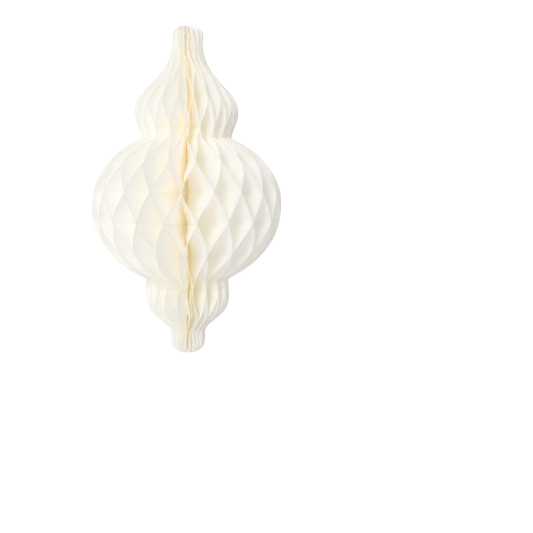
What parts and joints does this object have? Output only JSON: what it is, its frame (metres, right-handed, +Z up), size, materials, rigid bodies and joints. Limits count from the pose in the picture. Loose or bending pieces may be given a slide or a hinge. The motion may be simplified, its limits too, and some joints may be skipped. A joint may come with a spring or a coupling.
{
  "type": "paper honeycomb ornament",
  "caption": "Hanging paper honeycomb ornament: a round ball between two smaller bulbs, folded out from a flat fan of glued leaves about a straight spine.",
  "frame": {"origin": "top of the spine, on its axis, where the ornament hangs from", "axes": "+Z up along the spine, +Y towards the seam where the two end boards meet, -Y front"},
  "size_m": [0.1166, 0.1166, 0.2],
  "materials": {
    "leaf_paper": "matte uncoated ivory paper",
    "board_card": "matte uncoated ivory card",
    "binding_glue": "dried binding glue, faintly yellow",
    "binding_thread": "twisted off-white cotton thread",
    "adhesive_tape": "translucent double-sided adhesive"
  },
  "bodies": {
    "spine": {"spine_core": "binding_glue", "thread_ring_upper": "binding_thread", "thread_ring_lower": "binding_thread", "board_left": "board_card"},
    "end_board": {"board_right": "board_card", "closure_pad_upper": "adhesive_tape", "closure_pad_middle": "adhesive_tape", "closure_pad_lower": "adhesive_tape"},
    "leaf_01_body": {"leaf_01": "leaf_paper"},
    "leaf_02_body": {"leaf_02": "leaf_paper"},
    "leaf_03_body": {"leaf_03": "leaf_paper"},
    "leaf_04_body": {"leaf_04": "leaf_paper"},
    "leaf_05_body": {"leaf_05": "leaf_paper"},
    "leaf_06_body": {"leaf_06": "leaf_paper"},
    "leaf_07_body": {"leaf_07": "leaf_paper"},
    "leaf_08_body": {"leaf_08": "leaf_paper"},
    "leaf_09_body": {"leaf_09": "leaf_paper"},
    "leaf_10_body": {"leaf_10": "leaf_paper"},
    "leaf_11_body": {"leaf_11": "leaf_paper"},
    "leaf_12_body": {"leaf_12": "leaf_paper"},
    "leaf_13_body": {"leaf_13": "leaf_paper"},
    "leaf_14_body": {"leaf_14": "leaf_paper"},
    "leaf_15_body": {"leaf_15": "leaf_paper"},
    "leaf_16_body": {"leaf_16": "leaf_paper"},
    "leaf_17_body": {"leaf_17": "leaf_paper"},
    "leaf_18_body": {"leaf_18": "leaf_paper"},
    "leaf_19_body": {"leaf_19": "leaf_paper"},
    "leaf_20_body": {"leaf_20": "leaf_paper"},
    "leaf_21_body": {"leaf_21": "leaf_paper"},
    "leaf_22_body": {"leaf_22": "leaf_paper"},
    "leaf_23_body": {"leaf_23": "leaf_paper"},
    "leaf_24_body": {"leaf_24": "leaf_paper"},
    "leaf_25_body": {"leaf_25": "leaf_paper"},
    "leaf_26_body": {"leaf_26": "leaf_paper"},
    "leaf_27_body": {"leaf_27": "leaf_paper"},
    "leaf_28_body": {"leaf_28": "leaf_paper"},
    "leaf_29_body": {"leaf_29": "leaf_paper"},
    "leaf_30_body": {"leaf_30": "leaf_paper"},
    "leaf_31_body": {"leaf_31": "leaf_paper"},
    "leaf_32_body": {"leaf_32": "leaf_paper"},
    "leaf_33_body": {"leaf_33": "leaf_paper"},
    "leaf_34_body": {"leaf_34": "leaf_paper"},
    "leaf_35_body": {"leaf_35": "leaf_paper"},
    "leaf_36_body": {"leaf_36": "leaf_paper"},
    "leaf_37_body": {"leaf_37": "leaf_paper"},
    "leaf_38_body": {"leaf_38": "leaf_paper"},
    "leaf_39_body": {"leaf_39": "leaf_paper"},
    "leaf_40_body": {"leaf_40": "leaf_paper"}
  },
  "joints": [
    {"name": "unfold", "type": "hinge", "parent": "spine", "child": "end_board", "pos_m": [0, 0, 0], "axis": [0, 0, 1], "range_deg": [-352, 0]},
    {"name": "leaf_01_turn", "type": "hinge", "parent": "spine", "child": "leaf_01_body", "pos_m": [0, 0, 0], "axis": [0, 0, 1], "range_deg": [-4.41, 0.01], "deforming": ["leaf_01"]},
    {"name": "leaf_02_turn", "type": "hinge", "parent": "spine", "child": "leaf_02_body", "pos_m": [0, 0, 0], "axis": [0, 0, 1], "range_deg": [-13.21, 0.01], "deforming": ["leaf_02"]},
    {"name": "leaf_03_turn", "type": "hinge", "parent": "spine", "child": "leaf_03_body", "pos_m": [0, 0, 0], "axis": [0, 0, 1], "range_deg": [-22.01, 0.01], "deforming": ["leaf_03"]},
    {"name": "leaf_04_turn", "type": "hinge", "parent": "spine", "child": "leaf_04_body", "pos_m": [0, 0, 0], "axis": [0, 0, 1], "range_deg": [-30.81, 0.01], "deforming": ["leaf_04"]},
    {"name": "leaf_05_turn", "type": "hinge", "parent": "spine", "child": "leaf_05_body", "pos_m": [0, 0, 0], "axis": [0, 0, 1], "range_deg": [-39.61, 0.01], "deforming": ["leaf_05"]},
    {"name": "leaf_06_turn", "type": "hinge", "parent": "spine", "child": "leaf_06_body", "pos_m": [0, 0, 0], "axis": [0, 0, 1], "range_deg": [-48.41, 0.01], "deforming": ["leaf_06"]},
    {"name": "leaf_07_turn", "type": "hinge", "parent": "spine", "child": "leaf_07_body", "pos_m": [0, 0, 0], "axis": [0, 0, 1], "range_deg": [-57.21, 0.01], "deforming": ["leaf_07"]},
    {"name": "leaf_08_turn", "type": "hinge", "parent": "spine", "child": "leaf_08_body", "pos_m": [0, 0, 0], "axis": [0, 0, 1], "range_deg": [-66.01, 0.01], "deforming": ["leaf_08"]},
    {"name": "leaf_09_turn", "type": "hinge", "parent": "spine", "child": "leaf_09_body", "pos_m": [0, 0, 0], "axis": [0, 0, 1], "range_deg": [-74.81, 0.01], "deforming": ["leaf_09"]},
    {"name": "leaf_10_turn", "type": "hinge", "parent": "spine", "child": "leaf_10_body", "pos_m": [0, 0, 0], "axis": [0, 0, 1], "range_deg": [-83.61, 0.01], "deforming": ["leaf_10"]},
    {"name": "leaf_11_turn", "type": "hinge", "parent": "spine", "child": "leaf_11_body", "pos_m": [0, 0, 0], "axis": [0, 0, 1], "range_deg": [-92.41, 0.01], "deforming": ["leaf_11"]},
    {"name": "leaf_12_turn", "type": "hinge", "parent": "spine", "child": "leaf_12_body", "pos_m": [0, 0, 0], "axis": [0, 0, 1], "range_deg": [-101.21, 0.01], "deforming": ["leaf_12"]},
    {"name": "leaf_13_turn", "type": "hinge", "parent": "spine", "child": "leaf_13_body", "pos_m": [0, 0, 0], "axis": [0, 0, 1], "range_deg": [-110.01, 0.01], "deforming": ["leaf_13"]},
    {"name": "leaf_14_turn", "type": "hinge", "parent": "spine", "child": "leaf_14_body", "pos_m": [0, 0, 0], "axis": [0, 0, 1], "range_deg": [-118.81, 0.01], "deforming": ["leaf_14"]},
    {"name": "leaf_15_turn", "type": "hinge", "parent": "spine", "child": "leaf_15_body", "pos_m": [0, 0, 0], "axis": [0, 0, 1], "range_deg": [-127.61, 0.01], "deforming": ["leaf_15"]},
    {"name": "leaf_16_turn", "type": "hinge", "parent": "spine", "child": "leaf_16_body", "pos_m": [0, 0, 0], "axis": [0, 0, 1], "range_deg": [-136.41, 0.01], "deforming": ["leaf_16"]},
    {"name": "leaf_17_turn", "type": "hinge", "parent": "spine", "child": "leaf_17_body", "pos_m": [0, 0, 0], "axis": [0, 0, 1], "range_deg": [-145.21, 0.01], "deforming": ["leaf_17"]},
    {"name": "leaf_18_turn", "type": "hinge", "parent": "spine", "child": "leaf_18_body", "pos_m": [0, 0, 0], "axis": [0, 0, 1], "range_deg": [-154.01, 0.01], "deforming": ["leaf_18"]},
    {"name": "leaf_19_turn", "type": "hinge", "parent": "spine", "child": "leaf_19_body", "pos_m": [0, 0, 0], "axis": [0, 0, 1], "range_deg": [-162.81, 0.01], "deforming": ["leaf_19"]},
    {"name": "leaf_20_turn", "type": "hinge", "parent": "spine", "child": "leaf_20_body", "pos_m": [0, 0, 0], "axis": [0, 0, 1], "range_deg": [-171.61, 0.01], "deforming": ["leaf_20"]},
    {"name": "leaf_21_turn", "type": "hinge", "parent": "spine", "child": "leaf_21_body", "pos_m": [0, 0, 0], "axis": [0, 0, 1], "range_deg": [-180.41, 0.01], "deforming": ["leaf_21"]},
    {"name": "leaf_22_turn", "type": "hinge", "parent": "spine", "child": "leaf_22_body", "pos_m": [0, 0, 0], "axis": [0, 0, 1], "range_deg": [-189.21, 0.01], "deforming": ["leaf_22"]},
    {"name": "leaf_23_turn", "type": "hinge", "parent": "spine", "child": "leaf_23_body", "pos_m": [0, 0, 0], "axis": [0, 0, 1], "range_deg": [-198.01, 0.01], "deforming": ["leaf_23"]},
    {"name": "leaf_24_turn", "type": "hinge", "parent": "spine", "child": "leaf_24_body", "pos_m": [0, 0, 0], "axis": [0, 0, 1], "range_deg": [-206.81, 0.01], "deforming": ["leaf_24"]},
    {"name": "leaf_25_turn", "type": "hinge", "parent": "spine", "child": "leaf_25_body", "pos_m": [0, 0, 0], "axis": [0, 0, 1], "range_deg": [-215.61, 0.01], "deforming": ["leaf_25"]},
    {"name": "leaf_26_turn", "type": "hinge", "parent": "spine", "child": "leaf_26_body", "pos_m": [0, 0, 0], "axis": [0, 0, 1], "range_deg": [-224.41, 0.01], "deforming": ["leaf_26"]},
    {"name": "leaf_27_turn", "type": "hinge", "parent": "spine", "child": "leaf_27_body", "pos_m": [0, 0, 0], "axis": [0, 0, 1], "range_deg": [-233.21, 0.01], "deforming": ["leaf_27"]},
    {"name": "leaf_28_turn", "type": "hinge", "parent": "spine", "child": "leaf_28_body", "pos_m": [0, 0, 0], "axis": [0, 0, 1], "range_deg": [-242.01, 0.01], "deforming": ["leaf_28"]},
    {"name": "leaf_29_turn", "type": "hinge", "parent": "spine", "child": "leaf_29_body", "pos_m": [0, 0, 0], "axis": [0, 0, 1], "range_deg": [-250.81, 0.01], "deforming": ["leaf_29"]},
    {"name": "leaf_30_turn", "type": "hinge", "parent": "spine", "child": "leaf_30_body", "pos_m": [0, 0, 0], "axis": [0, 0, 1], "range_deg": [-259.61, 0.01], "deforming": ["leaf_30"]},
    {"name": "leaf_31_turn", "type": "hinge", "parent": "spine", "child": "leaf_31_body", "pos_m": [0, 0, 0], "axis": [0, 0, 1], "range_deg": [-268.41, 0.01], "deforming": ["leaf_31"]},
    {"name": "leaf_32_turn", "type": "hinge", "parent": "spine", "child": "leaf_32_body", "pos_m": [0, 0, 0], "axis": [0, 0, 1], "range_deg": [-277.21, 0.01], "deforming": ["leaf_32"]},
    {"name": "leaf_33_turn", "type": "hinge", "parent": "spine", "child": "leaf_33_body", "pos_m": [0, 0, 0], "axis": [0, 0, 1], "range_deg": [-286.01, 0.01], "deforming": ["leaf_33"]},
    {"name": "leaf_34_turn", "type": "hinge", "parent": "spine", "child": "leaf_34_body", "pos_m": [0, 0, 0], "axis": [0, 0, 1], "range_deg": [-294.81, 0.01], "deforming": ["leaf_34"]},
    {"name": "leaf_35_turn", "type": "hinge", "parent": "spine", "child": "leaf_35_body", "pos_m": [0, 0, 0], "axis": [0, 0, 1], "range_deg": [-303.61, 0.01], "deforming": ["leaf_35"]},
    {"name": "leaf_36_turn", "type": "hinge", "parent": "spine", "child": "leaf_36_body", "pos_m": [0, 0, 0], "axis": [0, 0, 1], "range_deg": [-312.41, 0.01], "deforming": ["leaf_36"]},
    {"name": "leaf_37_turn", "type": "hinge", "parent": "spine", "child": "leaf_37_body", "pos_m": [0, 0, 0], "axis": [0, 0, 1], "range_deg": [-321.21, 0.01], "deforming": ["leaf_37"]},
    {"name": "leaf_38_turn", "type": "hinge", "parent": "spine", "child": "leaf_38_body", "pos_m": [0, 0, 0], "axis": [0, 0, 1], "range_deg": [-330.01, 0.01], "deforming": ["leaf_38"]},
    {"name": "leaf_39_turn", "type": "hinge", "parent": "spine", "child": "leaf_39_body", "pos_m": [0, 0, 0], "axis": [0, 0, 1], "range_deg": [-338.81, 0.01], "deforming": ["leaf_39"]},
    {"name": "leaf_40_turn", "type": "hinge", "parent": "spine", "child": "leaf_40_body", "pos_m": [0, 0, 0], "axis": [0, 0, 1], "range_deg": [-347.61, 0.01], "deforming": ["leaf_40"]}
  ],
  "couplings": [
    {"joint": "leaf_01_turn", "follows": "unfold", "ratio": 0.0125},
    {"joint": "leaf_02_turn", "follows": "unfold", "ratio": 0.0375},
    {"joint": "leaf_03_turn", "follows": "unfold", "ratio": 0.0625},
    {"joint": "leaf_04_turn", "follows": "unfold", "ratio": 0.0875},
    {"joint": "leaf_05_turn", "follows": "unfold", "ratio": 0.1125},
    {"joint": "leaf_06_turn", "follows": "unfold", "ratio": 0.1375},
    {"joint": "leaf_07_turn", "follows": "unfold", "ratio": 0.1625},
    {"joint": "leaf_08_turn", "follows": "unfold", "ratio": 0.1875},
    {"joint": "leaf_09_turn", "follows": "unfold", "ratio": 0.2125},
    {"joint": "leaf_10_turn", "follows": "unfold", "ratio": 0.2375},
    {"joint": "leaf_11_turn", "follows": "unfold", "ratio": 0.2625},
    {"joint": "leaf_12_turn", "follows": "unfold", "ratio": 0.2875},
    {"joint": "leaf_13_turn", "follows": "unfold", "ratio": 0.3125},
    {"joint": "leaf_14_turn", "follows": "unfold", "ratio": 0.3375},
    {"joint": "leaf_15_turn", "follows": "unfold", "ratio": 0.3625},
    {"joint": "leaf_16_turn", "follows": "unfold", "ratio": 0.3875},
    {"joint": "leaf_17_turn", "follows": "unfold", "ratio": 0.4125},
    {"joint": "leaf_18_turn", "follows": "unfold", "ratio": 0.4375},
    {"joint": "leaf_19_turn", "follows": "unfold", "ratio": 0.4625},
    {"joint": "leaf_20_turn", "follows": "unfold", "ratio": 0.4875},
    {"joint": "leaf_21_turn", "follows": "unfold", "ratio": 0.5125},
    {"joint": "leaf_22_turn", "follows": "unfold", "ratio": 0.5375},
    {"joint": "leaf_23_turn", "follows": "unfold", "ratio": 0.5625},
    {"joint": "leaf_24_turn", "follows": "unfold", "ratio": 0.5875},
    {"joint": "leaf_25_turn", "follows": "unfold", "ratio": 0.6125},
    {"joint": "leaf_26_turn", "follows": "unfold", "ratio": 0.6375},
    {"joint": "leaf_27_turn", "follows": "unfold", "ratio": 0.6625},
    {"joint": "leaf_28_turn", "follows": "unfold", "ratio": 0.6875},
    {"joint": "leaf_29_turn", "follows": "unfold", "ratio": 0.7125},
    {"joint": "leaf_30_turn", "follows": "unfold", "ratio": 0.7375},
    {"joint": "leaf_31_turn", "follows": "unfold", "ratio": 0.7625},
    {"joint": "leaf_32_turn", "follows": "unfold", "ratio": 0.7875},
    {"joint": "leaf_33_turn", "follows": "unfold", "ratio": 0.8125},
    {"joint": "leaf_34_turn", "follows": "unfold", "ratio": 0.8375},
    {"joint": "leaf_35_turn", "follows": "unfold", "ratio": 0.8625},
    {"joint": "leaf_36_turn", "follows": "unfold", "ratio": 0.8875},
    {"joint": "leaf_37_turn", "follows": "unfold", "ratio": 0.9125},
    {"joint": "leaf_38_turn", "follows": "unfold", "ratio": 0.9375},
    {"joint": "leaf_39_turn", "follows": "unfold", "ratio": 0.9625},
    {"joint": "leaf_40_turn", "follows": "unfold", "ratio": 0.9875}
  ]
}
